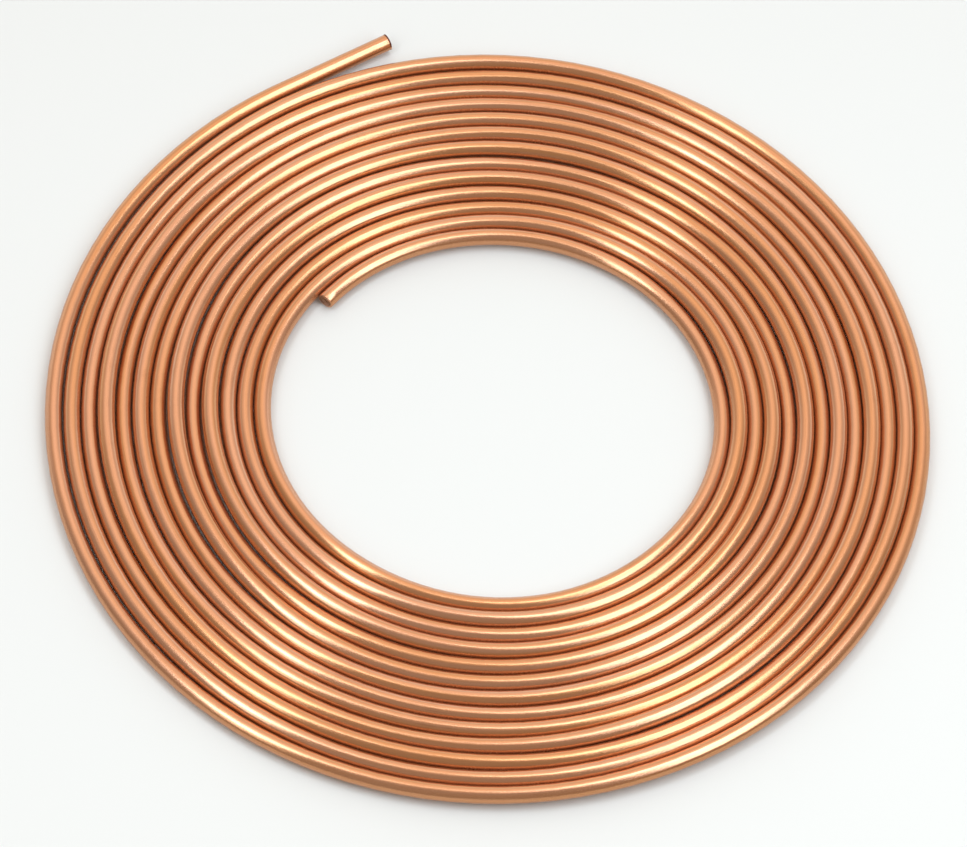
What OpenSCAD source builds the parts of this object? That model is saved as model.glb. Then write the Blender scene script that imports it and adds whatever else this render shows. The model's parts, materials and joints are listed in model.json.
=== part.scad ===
// Flat coil of soft copper tube: one hollow tube wound turn beside turn in a
// single layer, with its outer end leaving straight. Millimetres, Z up,
// the coil lies on the floor at Z = 0 and its eye is centred on the Z axis.

/* [Tube] */
// Outside diameter of the tube, the 3/8 inch size
tube_od = 9.52; // [6:0.01:12.7]
// Wall thickness of the tube
tube_wall = 0.81; // [0.6:0.01:1.5]

/* [Coil] */
// Radius of the outermost half turn, to the middle of the tube
outer_turn_r = 243; // [220:1:400]
// Number of half turns, counted from the free end inward
half_turns = 26; // [6:1:28]
// Gap left between one turn and the next
turn_gap = 0.2; // [0.1:0.02:2]
// Angle by which the inner end runs on past the last half turn, in degrees
inner_end_angle = 23; // [5:1:175]

/* [Free end] */
// Straight length of tube that leaves the outermost turn
free_end_len = 75; // [30:1:150]
// Extra gap between the coil and the start of the straight end, room for a fitting
free_end_room = 0.4; // [0.4:0.05:3]

/* [View] */
// Smoothness of the round shapes
$fn = 96; // [48:8:160]

/* [Hidden] */
pitch = tube_od + turn_gap;
half_step = pitch / 2;
bore_d = tube_od - 2 * tube_wall;
copper = [0.80, 0.50, 0.35];

// The ring that is the tube's section
module tube_section() {
    difference() {
        circle(d = tube_od);
        circle(d = bore_d);
    }
}

// Radius of the i-th half turn, and how far its centre lies from the coil's axis.
// The first half turn is wider, so that it meets the free end with its room.
function turn_room(i) = i == 0 ? free_end_room / 2 : 0;
function turn_r(i) = outer_turn_r - i * half_step + turn_room(i);
function turn_offset(i) = half_step / 2 + turn_room(i);

// An arc of the i-th half turn. Even half turns lie on the -X side and odd ones
// on the +X side, about two centres half a pitch apart, so that each arc takes
// over from the last without a kink and every pair comes one pitch further in.
module turn_arc(i, span = 180) {
    rotate([0, 0, (i % 2) * 180])
        translate([0, turn_offset(i), 0])
            rotate([0, 0, 90])
                rotate_extrude(angle = span)
                    translate([turn_r(i), 0])
                        tube_section();
}

// The straight outer end, running along +X from the outermost turn
module free_end() {
    translate([0, turn_r(0) + turn_offset(0), 0])
        rotate([0, 90, 0])
            linear_extrude(height = free_end_len)
                tube_section();
}

// The whole tube, from its free end to the square-cut end in the eye
module copper_tube() {
    color(copper)
        translate([0, 0, tube_od / 2])
            union() {
                free_end();
                for (i = [0 : half_turns - 1])
                    turn_arc(i);
                turn_arc(half_turns, inner_end_angle);
            }
}

copper_tube();
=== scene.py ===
"""Flat coil of soft copper tube, dressed for its photograph.

One length of bright drawn tube is wound turn beside turn in a single layer, and
its outer end leaves the coil straight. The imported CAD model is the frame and
gives the tube's size. This script lays the same winding with the small
unevenness of a coil that has been handled, gives it a copper finish, and sets
the studio and the camera. Lengths are in metres and angles in radians.
"""

import json
import logging
import math
from dataclasses import dataclass, field
from enum import Enum
from typing import Any, Union

import bmesh
import bpy
from mathutils import Matrix, Vector, noise


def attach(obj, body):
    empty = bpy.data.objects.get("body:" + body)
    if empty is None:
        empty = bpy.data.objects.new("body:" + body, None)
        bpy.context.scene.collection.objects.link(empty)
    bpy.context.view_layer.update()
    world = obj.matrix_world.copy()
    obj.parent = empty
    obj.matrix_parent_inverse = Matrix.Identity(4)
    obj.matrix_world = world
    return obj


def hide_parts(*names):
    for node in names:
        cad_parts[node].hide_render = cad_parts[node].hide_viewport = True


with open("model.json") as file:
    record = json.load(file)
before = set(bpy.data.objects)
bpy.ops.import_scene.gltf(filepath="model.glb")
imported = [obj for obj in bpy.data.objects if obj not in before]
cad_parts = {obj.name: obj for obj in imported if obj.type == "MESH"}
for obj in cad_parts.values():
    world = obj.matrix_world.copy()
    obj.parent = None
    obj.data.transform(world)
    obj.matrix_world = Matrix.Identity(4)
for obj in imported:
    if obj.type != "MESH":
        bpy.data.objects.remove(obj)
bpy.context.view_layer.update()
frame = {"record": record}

log = logging.getLogger("copper_coil")

MM = 0.001
NODE = "copper_tube"
BODY = "root"
TUBE_COORD = "tube_coord"
PHOTO_WIDTH = 967
SENSOR_WIDTH_MM = 36.0
UP = Vector((0.0, 0.0, 1.0))
NOISE_MIDDLE = 0.5
LEAN_NUDGE = math.radians(1.0)

Colour = tuple[float, float, float]
Triple = tuple[float, float, float]
Operand = Union["Wire", float]


class MathOp(Enum):
    """The sums a shader value takes part in."""

    ADD = "ADD"
    SUBTRACT = "SUBTRACT"
    MULTIPLY = "MULTIPLY"
    POWER = "POWER"
    MAXIMUM = "MAXIMUM"


class Wire:
    """A shader socket that takes part in Python arithmetic."""

    def __init__(self, graph: "Graph", socket: bpy.types.NodeSocket | None) -> None:
        """Keep the socket and the graph that new nodes go into."""
        self.graph = graph
        self.socket = socket

    def __add__(self, other: Operand) -> "Wire":
        """Return self + other."""
        return self.graph.sum_of(MathOp.ADD, self, other)

    def __radd__(self, other: Operand) -> "Wire":
        """Return other + self."""
        return self.graph.sum_of(MathOp.ADD, other, self)

    def __sub__(self, other: Operand) -> "Wire":
        """Return self - other."""
        return self.graph.sum_of(MathOp.SUBTRACT, self, other)

    def __rsub__(self, other: Operand) -> "Wire":
        """Return other - self."""
        return self.graph.sum_of(MathOp.SUBTRACT, other, self)

    def __mul__(self, other: Operand) -> "Wire":
        """Return self * other."""
        return self.graph.sum_of(MathOp.MULTIPLY, self, other)

    def __rmul__(self, other: Operand) -> "Wire":
        """Return other * self."""
        return self.graph.sum_of(MathOp.MULTIPLY, other, self)

    def __pow__(self, other: Operand) -> "Wire":
        """Return self to the power of other."""
        return self.graph.sum_of(MathOp.POWER, self, other)

    def __rpow__(self, other: Operand) -> "Wire":
        """Return other to the power of self."""
        return self.graph.sum_of(MathOp.POWER, other, self)

    def at_least(self, other: Operand) -> "Wire":
        """Return the larger of self and other."""
        return self.graph.sum_of(MathOp.MAXIMUM, self, other)


@dataclass(frozen=True)
class Clouds:
    """A noise pattern: its scale along each axis, and how fine and rough it is."""

    scale: Triple
    detail: float
    roughness: float


class Graph:
    """A node tree that is wired from Python expressions."""

    def __init__(self, tree: bpy.types.NodeTree) -> None:
        """Start from an empty tree."""
        self.tree = tree
        self.tree.nodes.clear()

    def node(
        self,
        kind: str,
        settings: dict[str, Any] | None = None,
        sockets: dict[str | int, Any] | None = None,
        output: str | int = 0,
    ) -> Wire:
        """Add a node, with its settings set first and then its sockets.

        Args:
            kind: The node's type name.
            settings: Its properties by name.
            sockets: Values or wires for its inputs, by name or index.
            output: The output to hand on, by name or index.

        Returns:
            The wire of that output, which is empty for a node without outputs.
        """
        made = self.tree.nodes.new(kind)
        for name, value in (settings or {}).items():
            setattr(made, name, value)
        for key, value in (sockets or {}).items():
            if isinstance(value, Wire):
                self.tree.links.new(value.socket, made.inputs[key])
            else:
                made.inputs[key].default_value = value
        return Wire(self, made.outputs[output] if len(made.outputs) else None)

    def sum_of(self, operation: MathOp, first: Operand, second: Operand) -> Wire:
        """Return the wire of a Math node on two operands."""
        return self.node("ShaderNodeMath", {"operation": operation.value}, {0: first, 1: second})

    def blend(self, factor: Operand, first: Any, second: Any) -> Wire:
        """Return a colour that goes from first to second as the factor goes from 0 to 1."""
        return self.node(
            "ShaderNodeMix", {"data_type": "RGBA"}, {0: factor, 6: first, 7: second}, 2
        )

    def scaled(self, vector: Wire, scale: Triple) -> Wire:
        """Return a vector stretched by its own amount along each axis."""
        return self.node("ShaderNodeVectorMath", {"operation": "MULTIPLY"}, {0: vector, 1: scale})

    def toward(self, vector: Wire, way: Vector) -> Wire:
        """Return the cosine between a unit vector and a fixed way."""
        return self.node(
            "ShaderNodeVectorMath",
            {"operation": "DOT_PRODUCT"},
            {0: vector, 1: tuple(way)},
            "Value",
        )

    def clouds(self, vector: Wire, pattern: Clouds) -> Wire:
        """Read a noise pattern at a vector.

        Args:
            vector: Where to read it.
            pattern: The pattern.

        Returns:
            The wire of a value about NOISE_MIDDLE.
        """
        return self.node(
            "ShaderNodeTexNoise",
            {"noise_dimensions": "3D"},
            {
                "Vector": self.scaled(vector, pattern.scale),
                "Scale": 1.0,
                "Detail": pattern.detail,
                "Roughness": pattern.roughness,
            },
        )

    def ease(self, value: Wire, low: float, high: float) -> Wire:
        """Return 0 where the value is under low, 1 over high, and a smooth rise between."""
        return self.node(
            "ShaderNodeMapRange",
            {"interpolation_type": "SMOOTHSTEP"},
            {"Value": value, "From Min": low, "From Max": high},
        )


def opaque(colour: Colour) -> tuple[float, float, float, float]:
    """Return a colour with full alpha, as a colour socket takes it."""
    return (*colour, 1.0)


@dataclass(frozen=True)
class CopperFinish:
    """Bright drawn copper: streaked along its length, rosy in places and amber in others, with
    painted shade darkening the flanks that face the next turns.
    """

    rose: Colour = (0.72, 0.37, 0.225)
    amber: Colour = (0.685, 0.32, 0.15)
    tarnish: Colour = (0.45, 0.18, 0.075)
    cut: Colour = (0.16, 0.045, 0.03)
    # Painted shade: the next colour and settings darken, dull and roughen the flanks of each tube
    # that face the neighbouring turns. They stand in for the shade in the grooves between turns.
    groove_shade_colour: Colour = (0.53, 0.24, 0.10)
    groove_shade_from: float = 0.3
    groove_shade_full: float = 0.8
    groove_shade_share: float = 0.6
    groove_shade_roughness: float = 0.16
    groove_shade_dull: float = 0.2
    metal: float = 0.93
    smooth: float = 0.1
    streak_roughness: float = 0.1
    cloud_roughness: float = 0.08
    cut_roughness: float = 0.5
    streak_depth: float = 0.15 * MM
    cut_length: float = 1.1 * MM
    cut_fade: float = 0.55
    streaks: Clouds = Clouds((7.0, 7.0, 9.0), 5.0, 0.62)
    hairs: Clouds = Clouds((34.0, 34.0, 16.0), 3.0, 0.6)
    tones: Clouds = Clouds((0.9, 0.9, 3.2), 2.0, 0.5)
    stains: Clouds = Clouds((55.0, 55.0, 55.0), 4.0, 0.6)
    grains: Clouds = Clouds((1900.0, 1900.0, 1900.0), 2.0, 0.5)
    rose_below: float = 0.34
    amber_above: float = 0.66
    stain_weight: float = 0.45
    streak_weight: float = 0.55
    tarnish_from: float = 0.52
    tarnish_full: float = 0.74
    tarnish_share: float = 0.5
    hair_roughness: float = 0.07
    grain_roughness: float = 0.06
    streak_relief: float = 0.6
    hair_relief: float = 0.35
    grain_relief: float = 0.05
    relief_strength: float = 0.5

    def material(self) -> bpy.types.Material:
        """Return the copper material, which reads the tube's own coordinates.

        Returns:
            The finished material.
        """
        made = bpy.data.materials.new("drawn_copper")
        made.use_nodes = True
        graph = Graph(made.node_tree)
        around = graph.node("ShaderNodeAttribute", {"attribute_name": TUBE_COORD}, output="Vector")
        aside = graph.node("ShaderNodeSeparateXYZ", sockets={"Vector": around}, output="X")
        length = graph.node("ShaderNodeSeparateXYZ", sockets={"Vector": around}, output="Z")
        streak = graph.clouds(around, self.streaks)
        hair = graph.clouds(around, self.hairs)
        tone = graph.clouds(around, self.tones)
        place = graph.node("ShaderNodeTexCoord", output="Object")
        stain = graph.clouds(place, self.stains)
        grain = graph.clouds(place, self.grains)

        toned = graph.ease(tone, self.rose_below, self.amber_above)
        warm = graph.blend(toned, opaque(self.rose), opaque(self.amber))
        worn = stain * self.stain_weight + streak * self.streak_weight
        dulled = graph.ease(worn, self.tarnish_from, self.tarnish_full) * self.tarnish_share
        colour = graph.blend(dulled, warm, opaque(self.tarnish))
        # Painted shade: the flanks that face the next turns take the darker brown, less metal and
        # more roughness, as shade in the grooves.
        painted_groove_shade = graph.ease(aside * aside, self.groove_shade_from, self.groove_shade_full) * self.groove_shade_share
        colour = graph.blend(painted_groove_shade, colour, opaque(self.groove_shade_colour))
        cut = 1.0 - graph.ease(length, self.cut_length * self.cut_fade, self.cut_length)
        colour = graph.blend(cut, colour, opaque(self.cut))

        rough = self.smooth + (streak - NOISE_MIDDLE) * self.streak_roughness
        rough = rough + hair * self.hair_roughness
        rough = rough + (stain - NOISE_MIDDLE) * self.cloud_roughness
        rough = rough + grain * self.grain_roughness
        rough = rough + cut * self.cut_roughness + painted_groove_shade * self.groove_shade_roughness
        relief = streak * self.streak_relief + hair * self.hair_relief + grain * self.grain_relief
        normal = graph.node(
            "ShaderNodeBump",
            sockets={
                "Strength": self.relief_strength,
                "Distance": self.streak_depth,
                "Height": relief,
            },
        )
        surface = graph.node(
            "ShaderNodeBsdfPrincipled",
            sockets={
                "Base Color": colour,
                "Metallic": self.metal - painted_groove_shade * self.groove_shade_dull,
                "Roughness": rough,
                "Normal": normal,
            },
        )
        graph.node("ShaderNodeOutputMaterial", sockets={"Surface": surface})
        return made


@dataclass(frozen=True)
class FloorFinish:
    """Plain white floor that keeps the coil's shadow."""

    white: Colour = (0.845, 0.845, 0.845)

    def material(self) -> bpy.types.Material:
        """Return the floor's material.

        Returns:
            The finished material.
        """
        made = bpy.data.materials.new("white_floor")
        made.use_nodes = True
        graph = Graph(made.node_tree)
        surface = graph.node("ShaderNodeBsdfDiffuse", sockets={"Color": opaque(self.white)})
        graph.node("ShaderNodeOutputMaterial", sockets={"Surface": surface})
        return made


@dataclass(frozen=True)
class Place:
    """Where a point of the tube lies along the winding."""

    length: float
    wound: float
    outward: Vector
    aside: float
    above: float


@dataclass(frozen=True)
class Winding:
    """The tube's middle line: a straight free end, then half turns that step inwards."""

    tube_r: float
    free_end_len: float
    outer_turn_r: float = 243.0 * MM
    half_turns: int = 26
    turn_gap: float = 0.2 * MM
    free_end_room: float = 0.4 * MM
    inner_end_angle: float = math.radians(23.0)

    @property
    def pitch(self) -> float:
        """How far each turn lies inside the one before."""
        return 2.0 * self.tube_r + self.turn_gap

    @property
    def half_step(self) -> float:
        """How much smaller each half turn is than the one before."""
        return self.pitch / 2

    @property
    def tip(self) -> Vector:
        """The middle of the free end's cut."""
        across = self.outer_turn_r + self.half_step / 2 + self.free_end_room
        return Vector((self.free_end_len, across, self.tube_r))

    @property
    def wound_angle(self) -> float:
        """The whole angle from the start of the outermost turn to the inner end."""
        return self.half_turns * math.pi + self.inner_end_angle

    def room(self, index: int) -> float:
        """Return how much wider a half turn is to meet the free end with its room."""
        return self.free_end_room / 2 if index == 0 else 0.0

    def centre(self, index: int) -> Vector:
        """Return the centre that a half turn is wound about."""
        side = 1.0 if index % 2 == 0 else -1.0
        return Vector((0.0, side * (self.half_step / 2 + self.room(index)), self.tube_r))

    def radius(self, index: int) -> float:
        """Return a half turn's radius."""
        return self.outer_turn_r - index * self.half_step + self.room(index)

    def length_before(self, index: int) -> float:
        """Return the tube's length from the free end's cut to the start of a half turn."""
        return self.free_end_len + math.pi * sum(self.radius(before) for before in range(index))

    def locate(self, point: Vector) -> Place:
        """Find where a point of the tube lies along the winding.

        Args:
            point: A point on or in the tube.

        Returns:
            Its place.
        """
        aside_of_end = point.y - self.tip.y
        if point.x > 0.0 and aside_of_end > -self.half_step:
            return Place(
                length=self.free_end_len - point.x,
                wound=-point.x / self.outer_turn_r,
                outward=Vector((0.0, 1.0, 0.0)),
                aside=aside_of_end,
                above=point.z - self.tube_r,
            )
        parity = 1 if point.x > 0.0 else 0
        reach = (point - self.centre(parity + 2)).to_2d().length
        step_in = self.outer_turn_r - reach - parity * self.half_step
        index = 2 * max(round(step_in / self.pitch), 0) + parity
        arm = (point - self.centre(index)).to_2d()
        start = math.pi / 2 + parity * math.pi
        turned = (math.atan2(arm.y, arm.x) - start + math.pi / 2) % math.tau - math.pi / 2
        return Place(
            length=self.length_before(index) + turned * self.radius(index),
            wound=index * math.pi + turned,
            outward=arm.normalized().to_3d(),
            aside=arm.length - self.radius(index),
            above=point.z - self.tube_r,
        )


@dataclass(frozen=True)
class Rise:
    """A stretch of the winding that rides up over its neighbours."""

    turn: int
    bearing: float
    spread: float
    height: float

    def at(self, wound: float) -> float:
        """Return the height at a wound angle."""
        middle = self.turn * math.tau + self.bearing
        return self.height * math.exp(-(((wound - middle) / self.spread) ** 2))


@dataclass(frozen=True)
class Parting:
    """A place where the winding lies open between one turn and the next."""

    turn: int
    bearing: float
    spread: float
    width: float

    def at(self, wound: float) -> float:
        """Return how far a point is pushed outwards, which is inwards past the parting.

        Args:
            wound: The point's wound angle.

        Returns:
            The push.
        """
        away = (wound - self.bearing + math.pi) % math.tau - math.pi
        side = 0.5 if (wound - away) / math.tau <= self.turn + 0.5 else -0.5
        return side * self.width * math.exp(-((away / self.spread) ** 2))


@dataclass
class Lay:
    """The unevenness with which the turns lie on the floor and on each other.

    Towards its inner end the winding drifts off centre and is drawn a little oval, and
    each turn sways and lifts along its way. Where two neighbours would meet, they are
    eased apart until the tubes just clear, so a lifted turn can lie closer to the next.
    """

    winding: Winding
    rises: tuple[Rise, ...] = (
        Rise(turn=0, bearing=math.radians(175.0), spread=math.radians(45.0), height=0.9 * MM),
        Rise(turn=3, bearing=math.radians(166.0), spread=math.radians(50.0), height=0.9 * MM),
        Rise(turn=7, bearing=math.radians(64.0), spread=math.radians(42.0), height=3.6 * MM),
        Rise(turn=9, bearing=math.radians(64.0), spread=math.radians(42.0), height=3.6 * MM),
        Rise(turn=3, bearing=math.radians(60.0), spread=math.radians(40.0), height=3.2 * MM),
        Rise(turn=1, bearing=math.radians(226.0), spread=math.radians(46.0), height=2.2 * MM),
        Rise(turn=3, bearing=math.radians(242.0), spread=math.radians(52.0), height=3.2 * MM),
        Rise(turn=5, bearing=math.radians(252.0), spread=math.radians(44.0), height=2.0 * MM),
        Rise(turn=7, bearing=math.radians(232.0), spread=math.radians(50.0), height=3.4 * MM),
        Rise(turn=9, bearing=math.radians(220.0), spread=math.radians(44.0), height=2.4 * MM),
        Rise(turn=11, bearing=math.radians(246.0), spread=math.radians(50.0), height=2.2 * MM),
    )
    partings: tuple[Parting, ...] = (
        Parting(turn=3, bearing=math.radians(22.0), spread=math.radians(36.0), width=-0.4 * MM),
        Parting(turn=5, bearing=math.radians(22.0), spread=math.radians(36.0), width=-0.4 * MM),
        Parting(turn=10, bearing=math.radians(22.0), spread=math.radians(36.0), width=-0.4 * MM),
        Parting(turn=2, bearing=math.radians(56.0), spread=math.radians(50.0), width=-0.3 * MM),
        Parting(turn=3, bearing=math.radians(56.0), spread=math.radians(50.0), width=-0.3 * MM),
        Parting(turn=7, bearing=math.radians(68.0), spread=math.radians(52.0), width=-0.4 * MM),
        Parting(turn=8, bearing=math.radians(68.0), spread=math.radians(52.0), width=-0.4 * MM),
    )
    drift: Triple = (2.0 * MM, -3.3 * MM, 0.0)
    oval: float = 2.675 * MM
    oval_way: Triple = (0.829, -0.559, 0.0)
    sway: float = 0.12 * MM
    sway_waves: float = 0.8
    sway_row: float = 1.7
    lift: float = 2.8 * MM
    lift_waves: float = 0.8
    lift_row: float = 5.2
    gain: float = 1.9
    clear: float = 0.08 * MM
    turn_steps: int = 240
    rounds: int = 80
    asides: list[float] = field(default_factory=list)
    heights: list[float] = field(default_factory=list)

    def __post_init__(self) -> None:
        """Work out how the turns lie."""
        count = math.ceil(self.winding.wound_angle / self.stride) + 2
        wounds = [index * self.stride for index in range(count)]
        self.heights = [self.height(wound) for wound in wounds]
        self.asides = [self.wander(wound) for wound in wounds]
        for _ in range(self.rounds):
            self.even_out()
            self.ease_apart()

    @property
    def stride(self) -> float:
        """The wound angle between two samples of the lay."""
        return math.tau / self.turn_steps

    def wave(self, wound: float, waves: float, row: float) -> float:
        """Return a smooth value between -1 and 1 that changes along the winding."""
        value = self.gain * noise.noise(Vector((wound * waves, row, row)))
        return max(-1.0, min(1.0, value))

    def height(self, wound: float) -> float:
        """Return how far the tube is lifted off the floor."""
        lifted = self.lift * (0.5 + 0.5 * self.wave(wound, self.lift_waves, self.lift_row))
        return lifted + sum(rise.at(wound) for rise in self.rises)

    def wander(self, wound: float) -> float:
        """Return how far the tube would lie outside the even winding.

        Args:
            wound: The wound angle to look at.

        Returns:
            The distance, before neighbours are eased apart.
        """
        outward = Vector((-math.sin(wound), math.cos(wound), 0.0))
        inward = wound / self.winding.wound_angle
        drawn = self.oval * (2.0 * outward.dot(Vector(self.oval_way)) ** 2 - 1.0)
        swayed = self.sway * self.wave(wound, self.sway_waves, self.sway_row)
        opened = sum(parting.at(wound) for parting in self.partings)
        return swayed + opened + inward * (outward.dot(Vector(self.drift)) + drawn)

    def even_out(self) -> None:
        """Take the kinks out of the sway."""
        old = self.asides
        inner = [(old[i - 1] + 2.0 * old[i] + old[i + 1]) / 4.0 for i in range(1, len(old) - 1)]
        self.asides = [old[0], *inner, old[-1]]

    def ease_apart(self) -> None:
        """Push neighbouring turns apart where the tubes would meet."""
        across = 2.0 * self.winding.tube_r + self.clear
        for outer in range(len(self.asides) - self.turn_steps):
            inner = outer + self.turn_steps
            rise = self.heights[outer] - self.heights[inner]
            need = math.sqrt(max(across**2 - rise**2, 0.0))
            have = self.winding.pitch + self.asides[outer] - self.asides[inner]
            push = max(need - have, 0.0) / 2.0
            self.asides[outer] += push
            self.asides[inner] -= push

    def shift(self, place: Place) -> Vector:
        """Return how far a point of the tube lies from the even winding.

        Args:
            place: The point's place along the winding.

        Returns:
            The shift.
        """
        at = max(place.wound, 0.0) / self.stride
        before = min(int(at), len(self.asides) - 2)
        part = at - before
        aside = self.asides[before] * (1.0 - part) + self.asides[before + 1] * part
        height = self.heights[before] * (1.0 - part) + self.heights[before + 1] * part
        return place.outward * aside + UP * height


@dataclass
class TubeCoil:
    """The whole coil: one hollow tube with two cut ends."""

    winding: Winding
    lay: Lay
    finish: CopperFinish
    wall: float = 0.81 * MM
    skin_segments: int = 48
    bore_segments: int = 14
    half_turn_steps: int = 56
    inner_end_steps: int = 7
    free_end_steps: int = 10
    burr_out: float = 0.2 * MM
    burr_in: float = 0.3 * MM
    burr_len: float = 0.9 * MM
    rim_round: float = 0.1 * MM
    rim_segments: int = 2
    rim_profile: float = 0.5
    weld: float = 0.001 * MM
    sharp: float = math.radians(42.0)

    def build(self) -> bpy.types.Object:
        """Wind the skin and the bore, join them at the two cuts, and dress the tube.

        Returns:
            The coil's object.
        """
        bm = bmesh.new()
        tube_r = self.winding.tube_r
        self.wind(bm, tube_r, self.burr_out, self.skin_segments)
        self.wind(bm, tube_r - self.wall, -self.burr_in, self.bore_segments)
        bmesh.ops.remove_doubles(bm, verts=bm.verts, dist=self.weld)
        self.close_cuts(bm)
        bmesh.ops.recalc_face_normals(bm, faces=bm.faces)
        self.settle(bm)
        self.put_in_order(bm)
        mesh = bpy.data.meshes.new("copper_coil")
        bm.to_mesh(mesh)
        bm.free()
        mesh.shade_smooth()
        mesh.set_sharp_from_angle(angle=self.sharp)
        mesh.materials.append(self.finish.material())
        piece = bpy.data.objects.new("copper_coil", mesh)
        bpy.context.scene.collection.objects.link(piece)
        return piece

    def wind(self, bm: bmesh.types.BMesh, radius: float, burr: float, segments: int) -> None:
        """Add one open pipe that follows the whole winding.

        Args:
            bm: The mesh to add it to.
            radius: The pipe's radius.
            burr: How far its edge is rolled outwards at the free end's cut.
            segments: Its sides.
        """
        self.graft(bm, self.free_end(radius, burr, segments))
        for index in range(self.winding.half_turns):
            turn = self.arc(index, math.pi, self.half_turn_steps, radius, segments)
            self.graft(bm, turn)
        last = self.winding.half_turns
        rest = self.winding.inner_end_angle
        self.graft(bm, self.arc(last, rest, self.inner_end_steps, radius, segments))

    @staticmethod
    def graft(bm: bmesh.types.BMesh, part: bmesh.types.BMesh) -> None:
        """Add a part to the mesh and free it.

        Args:
            bm: The mesh to add it to.
            part: The part.
        """
        carrier = bpy.data.meshes.new("carrier")
        part.to_mesh(carrier)
        part.free()
        bm.from_mesh(carrier)
        bpy.data.meshes.remove(carrier)

    @staticmethod
    def ring(
        part: bmesh.types.BMesh, radius: float, segments: int, place: Matrix
    ) -> list[bmesh.types.BMEdge]:
        """Make a ring that stands across the tube.

        Args:
            part: The mesh to make it in.
            radius: The ring's radius.
            segments: Its sides.
            place: Where it stands, with the tube along X.

        Returns:
            Its edges.
        """
        stand = place @ Matrix.Rotation(math.pi / 2, 4, "Y")
        made = bmesh.ops.create_circle(part, segments=segments, radius=radius, matrix=stand)
        return list(dict.fromkeys(edge for vert in made["verts"] for edge in vert.link_edges))

    def free_end(self, radius: float, burr: float, segments: int) -> bmesh.types.BMesh:
        """Pull a ring from the cut of the free end to the start of the outermost turn.

        Args:
            radius: The pipe's radius.
            burr: How far its edge is rolled outwards at the cut.
            segments: Its sides.

        Returns:
            A mesh of the straight pipe.
        """
        part = bmesh.new()
        tip = self.winding.tip
        cut = self.ring(part, radius + burr, segments, Matrix.Translation(tip))
        pulled = bmesh.ops.extrude_edge_only(part, edges=cut)["geom"]
        verts = [item for item in pulled if isinstance(item, bmesh.types.BMVert)]
        edges = [item for item in pulled if isinstance(item, bmesh.types.BMEdge)]
        edges = [edge for edge in edges if all(vert in verts for vert in edge.verts)]
        shrink = radius / (radius + burr)
        about = Matrix.Translation(-tip)
        bmesh.ops.scale(part, vec=(1.0, shrink, shrink), space=about, verts=verts)
        bmesh.ops.translate(part, vec=(-self.burr_len, 0.0, 0.0), verts=verts)
        stride = (self.burr_len - self.winding.free_end_len) / self.free_end_steps
        bmesh.ops.spin(
            part,
            geom=edges,
            cent=tip,
            axis=UP,
            dvec=(stride, 0.0, 0.0),
            angle=0.0,
            steps=self.free_end_steps,
            use_merge=False,
        )
        return part

    def arc(
        self, index: int, angle: float, steps: int, radius: float, segments: int
    ) -> bmesh.types.BMesh:
        """Spin a ring through one half turn of the winding, or a part of it.

        Args:
            index: The half turn, counted from the free end.
            angle: The angle to spin through.
            steps: The rings to add.
            radius: The pipe's radius.
            segments: Its sides.

        Returns:
            A mesh of the curved pipe.
        """
        part = bmesh.new()
        centre = self.winding.centre(index)
        facing = Matrix.Rotation(math.pi * (index % 2), 4, "Z")
        start = Matrix.Translation(centre) @ facing
        start = start @ Matrix.Translation((0.0, self.winding.radius(index), 0.0))
        edges = self.ring(part, radius, segments, start)
        bmesh.ops.spin(
            part,
            geom=edges,
            cent=centre,
            axis=UP,
            dvec=(0.0, 0.0, 0.0),
            angle=angle,
            steps=steps,
            use_merge=False,
        )
        return part

    def close_cuts(self, bm: bmesh.types.BMesh) -> None:
        """Bridge the skin to the bore at both cuts, and round the four rims.

        Args:
            bm: The mesh of the wound skin and bore.
        """
        rims = [edge for edge in bm.edges if edge.is_boundary]
        near_tip = self.winding.free_end_len - self.burr_len / 2
        at_tip = [edge for edge in rims if edge.verts[0].co.x > near_tip]
        at_inner = [edge for edge in rims if edge.verts[0].co.x <= near_tip]
        bmesh.ops.bridge_loops(bm, edges=at_tip)
        bmesh.ops.bridge_loops(bm, edges=at_inner)
        bmesh.ops.bevel(
            bm,
            geom=rims,
            offset=self.rim_round,
            offset_type="OFFSET",
            segments=self.rim_segments,
            profile=self.rim_profile,
            affect="EDGES",
            material=-1,
            clamp_overlap=True,
        )

    def settle(self, bm: bmesh.types.BMesh) -> None:
        """Give each point its tube coordinates, then let the turns lie unevenly.

        Args:
            bm: The mesh of the whole tube.
        """
        layer = bm.verts.layers.float_vector.new(TUBE_COORD)
        for vert in bm.verts:
            place = self.winding.locate(vert.co)
            turned = Vector((place.aside, place.above)).normalized()
            vert[layer] = Vector((turned.x, turned.y, place.length))
            vert.co += self.lay.shift(place)

    @staticmethod
    def put_in_order(bm: bmesh.types.BMesh) -> None:
        """Sort points and faces by their place, because spin leaves them in no fixed order.

        Args:
            bm: The finished mesh.
        """
        verts = sorted(bm.verts, key=lambda vert: tuple(vert.co))
        vert_rank = {vert: rank for rank, vert in enumerate(verts)}
        bm.verts.sort(key=vert_rank.get)
        faces = sorted(bm.faces, key=lambda face: tuple(face.calc_center_median()))
        face_rank = {face: rank for rank, face in enumerate(faces)}
        bm.faces.sort(key=face_rank.get)


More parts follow.
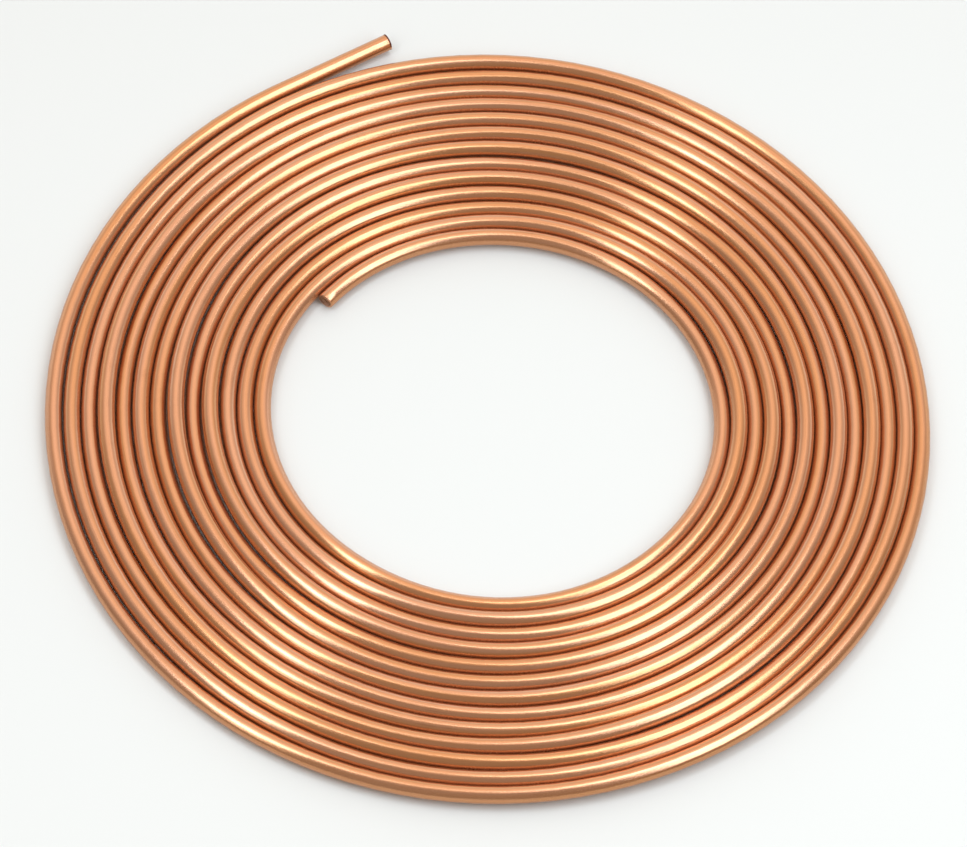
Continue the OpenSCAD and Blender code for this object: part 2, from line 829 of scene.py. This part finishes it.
@dataclass
class PhotoCamera:
    """The camera, where the photograph was taken from."""

    azimuth: float = math.radians(-33.99)
    elevation: float = math.radians(58.7)
    roll: float = math.radians(3.975)
    distance: float = 2.973
    focal_px: float = 5331.0
    aside_px: float = 8.0
    below_px: float = 7.0

    @property
    def right(self) -> Vector:
        """The level direction to the picture's right."""
        return Vector((math.cos(self.azimuth), math.sin(self.azimuth), 0.0))

    @property
    def forward(self) -> Vector:
        """The level direction away from the camera."""
        return Vector((-math.sin(self.azimuth), math.cos(self.azimuth), 0.0))

    @property
    def back(self) -> Vector:
        """The direction from the coil to the camera."""
        return UP * math.sin(self.elevation) - self.forward * math.cos(self.elevation)

    @property
    def mirrored_up(self) -> Vector:
        """The direction that a level surface mirrors to the camera."""
        return UP * math.sin(self.elevation) + self.forward * math.cos(self.elevation)

    def place(self) -> bpy.types.Object:
        """Make the camera and give it to the scene.

        Returns:
            The camera's object.
        """
        back = self.back
        upward = back.cross(self.right)
        turn = Matrix.Rotation(self.roll, 3, back)
        across, upright = turn @ self.right, turn @ upward
        per_px = self.distance / self.focal_px
        aim = -across * self.aside_px * per_px - upright * self.below_px * per_px
        data = bpy.data.cameras.new("photo_camera")
        data.sensor_width = SENSOR_WIDTH_MM
        data.lens = self.focal_px * SENSOR_WIDTH_MM / PHOTO_WIDTH
        made = bpy.data.objects.new("photo_camera", data)
        pose = Matrix((across, upright, back)).transposed().to_4x4()
        made.matrix_world = Matrix.Translation(aim + back * self.distance) @ pose
        bpy.context.scene.collection.objects.link(made)
        bpy.context.scene.camera = made
        return made


@dataclass(frozen=True)
class SoftBox:
    """A soft light, long one way, that the coil mirrors where its wall leans one way.

    A wall of the tube that leans by `lean` toward the bearing `bearing`, counted from the
    picture's right, mirrors the middle of the light to the camera. The light's long side
    follows the walls that lean more or less toward the same bearing.
    """

    name: str
    bearing: float
    lean: float
    width: float
    length: float
    radiance: float
    distance: float = 1.7
    colour: Colour = (0.78, 0.92, 1.0)

    def mirrored(self, camera: PhotoCamera, lean: float) -> Vector:
        """Return the direction that a wall with this lean mirrors to the camera.

        Args:
            camera: The camera.
            lean: How far the wall leans toward the bearing.

        Returns:
            The unit direction.
        """
        level = camera.right * math.cos(self.bearing) + camera.forward * math.sin(self.bearing)
        wall = level * math.sin(lean) + UP * math.cos(lean)
        return (2.0 * wall.dot(camera.back) * wall - camera.back).normalized()

    def hang(self, camera: PhotoCamera) -> bpy.types.Object:
        """Hang the light.

        Args:
            camera: The camera that the light is mirrored to.

        Returns:
            The light's object.
        """
        way = self.mirrored(camera, self.lean)
        further = self.mirrored(camera, self.lean + LEAN_NUDGE)
        across = way.cross(further - way).normalized()
        along = way.cross(across)
        data = bpy.data.lights.new(self.name, "AREA")
        data.shape = "RECTANGLE"
        data.size = self.width
        data.size_y = self.length
        data.color = self.colour
        data.energy = self.radiance * math.pi * self.width * self.length
        made = bpy.data.objects.new(self.name, data)
        turn = Matrix((across, along, across.cross(along))).transposed().to_4x4()
        made.matrix_world = Matrix.Translation(way * self.distance) @ turn
        bpy.context.scene.collection.objects.link(made)
        return made


@dataclass
class Studio:
    """White floor, soft lights and a pale room that is darker behind the camera."""

    camera: PhotoCamera
    floor_finish: FloorFinish
    floor_half: float = 30.0
    sweep: float = 1.25
    room: float = 0.40
    glow: float = 0.92
    glow_focus: float = 4.0
    dark: float = 0.42
    tint: Colour = (1.0, 0.90, 0.79)
    sweep_tint: Colour = (0.86, 0.95, 1.0)
    sweep_top: float = 0.22
    room_from: float = 0.6
    sweep_side: float = 0.0
    sweep_back: float = 0.75
    dark_edge: float = math.cos(math.radians(34.0))
    dark_core: float = math.cos(math.radians(18.0))
    dark_turn: float = math.radians(-24.0)
    floor_cells: int = 2
    boxes: tuple[SoftBox, ...] = (
        SoftBox(
            name="wide_strip",
            bearing=math.radians(124.0),
            lean=math.radians(-25.0),
            width=0.64,
            length=2.2,
            radiance=3.5,
        ),
        SoftBox(
            name="narrow_strip",
            bearing=math.radians(59.0),
            lean=math.radians(-27.0),
            width=0.33,
            length=2.3,
            radiance=2.2,
        ),
        SoftBox(
            name="narrow_core",
            bearing=math.radians(59.0),
            lean=math.radians(-25.0),
            width=0.26,
            length=0.8,
            radiance=3.6,
            distance=1.65,
        ),
    )

    def floor(self) -> bpy.types.Object:
        """Lay the floor.

        Returns:
            The floor's object.
        """
        bm = bmesh.new()
        cells = self.floor_cells
        bmesh.ops.create_grid(bm, x_segments=cells, y_segments=cells, size=self.floor_half)
        mesh = bpy.data.meshes.new("floor")
        bm.to_mesh(mesh)
        bm.free()
        mesh.materials.append(self.floor_finish.material())
        made = bpy.data.objects.new("floor", mesh)
        bpy.context.scene.collection.objects.link(made)
        return made

    def room_light(self) -> None:
        """Give the world a white sweep beyond, a pale room, and less light behind the camera."""
        world = bpy.data.worlds.new("studio_room")
        world.use_nodes = True
        bpy.context.scene.world = world
        graph = Graph(world.node_tree)
        way = graph.node("ShaderNodeTexCoord", output="Generated")
        height = graph.node("ShaderNodeSeparateXYZ", sockets={"Vector": way}, output="Z")
        overhead = graph.ease(height, self.sweep_top, self.room_from)
        beyond = graph.ease(
            graph.toward(way, self.camera.forward), self.sweep_side, self.sweep_back
        )
        above = graph.toward(way, self.camera.mirrored_up).at_least(0.0) ** self.glow_focus
        lit = self.room + above * self.glow
        back = Matrix.Rotation(self.dark_turn, 3, "Z") @ self.camera.back
        behind = graph.ease(graph.toward(way, back), self.dark_edge, self.dark_core)
        room = lit + behind * (self.dark - lit)
        swept = beyond * (1.0 - overhead)
        level = room + swept * (self.sweep - room)
        colour = graph.blend(swept, opaque(self.tint), opaque(self.sweep_tint))
        light = graph.node("ShaderNodeBackground", sockets={"Color": colour, "Strength": level})
        graph.node("ShaderNodeOutputWorld", sockets={"Surface": light})

    def light(self) -> None:
        """Hang every soft light."""
        for box in self.boxes:
            box.hang(self.camera)
            log.info("light %s", box.name)


def tube_from_record() -> tuple[float, float]:
    """Read the tube's radius and the free end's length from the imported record.

    Returns:
        The outside radius and the straight length, in metres.
    """
    mounts = {mount["name"]: mount for mount in frame["record"]["mounts"]}
    sizes = mounts["free_end"]["dims"]
    return sizes["r_mm"] * MM, sizes["length_mm"] * MM


def main() -> None:
    """Build the coil, then the camera and the studio."""
    logging.basicConfig(level=logging.INFO, format="%(name)s: %(message)s")
    scene = bpy.context.scene
    scene.view_settings.view_transform = "Standard"

    tube_r, free_end_len = tube_from_record()
    winding = Winding(tube_r=tube_r, free_end_len=free_end_len)
    coil = TubeCoil(
        winding=winding,
        lay=Lay(winding),
        finish=CopperFinish(),
    )
    piece = coil.build()
    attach(piece, BODY)
    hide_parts(NODE)
    log.info("coil of %d faces", len(piece.data.polygons))

    camera = PhotoCamera()
    camera.place()
    log.info("camera")
    studio = Studio(camera=camera, floor_finish=FloorFinish())
    studio.floor()
    studio.room_light()
    studio.light()


if __name__ == "__main__":
    main()
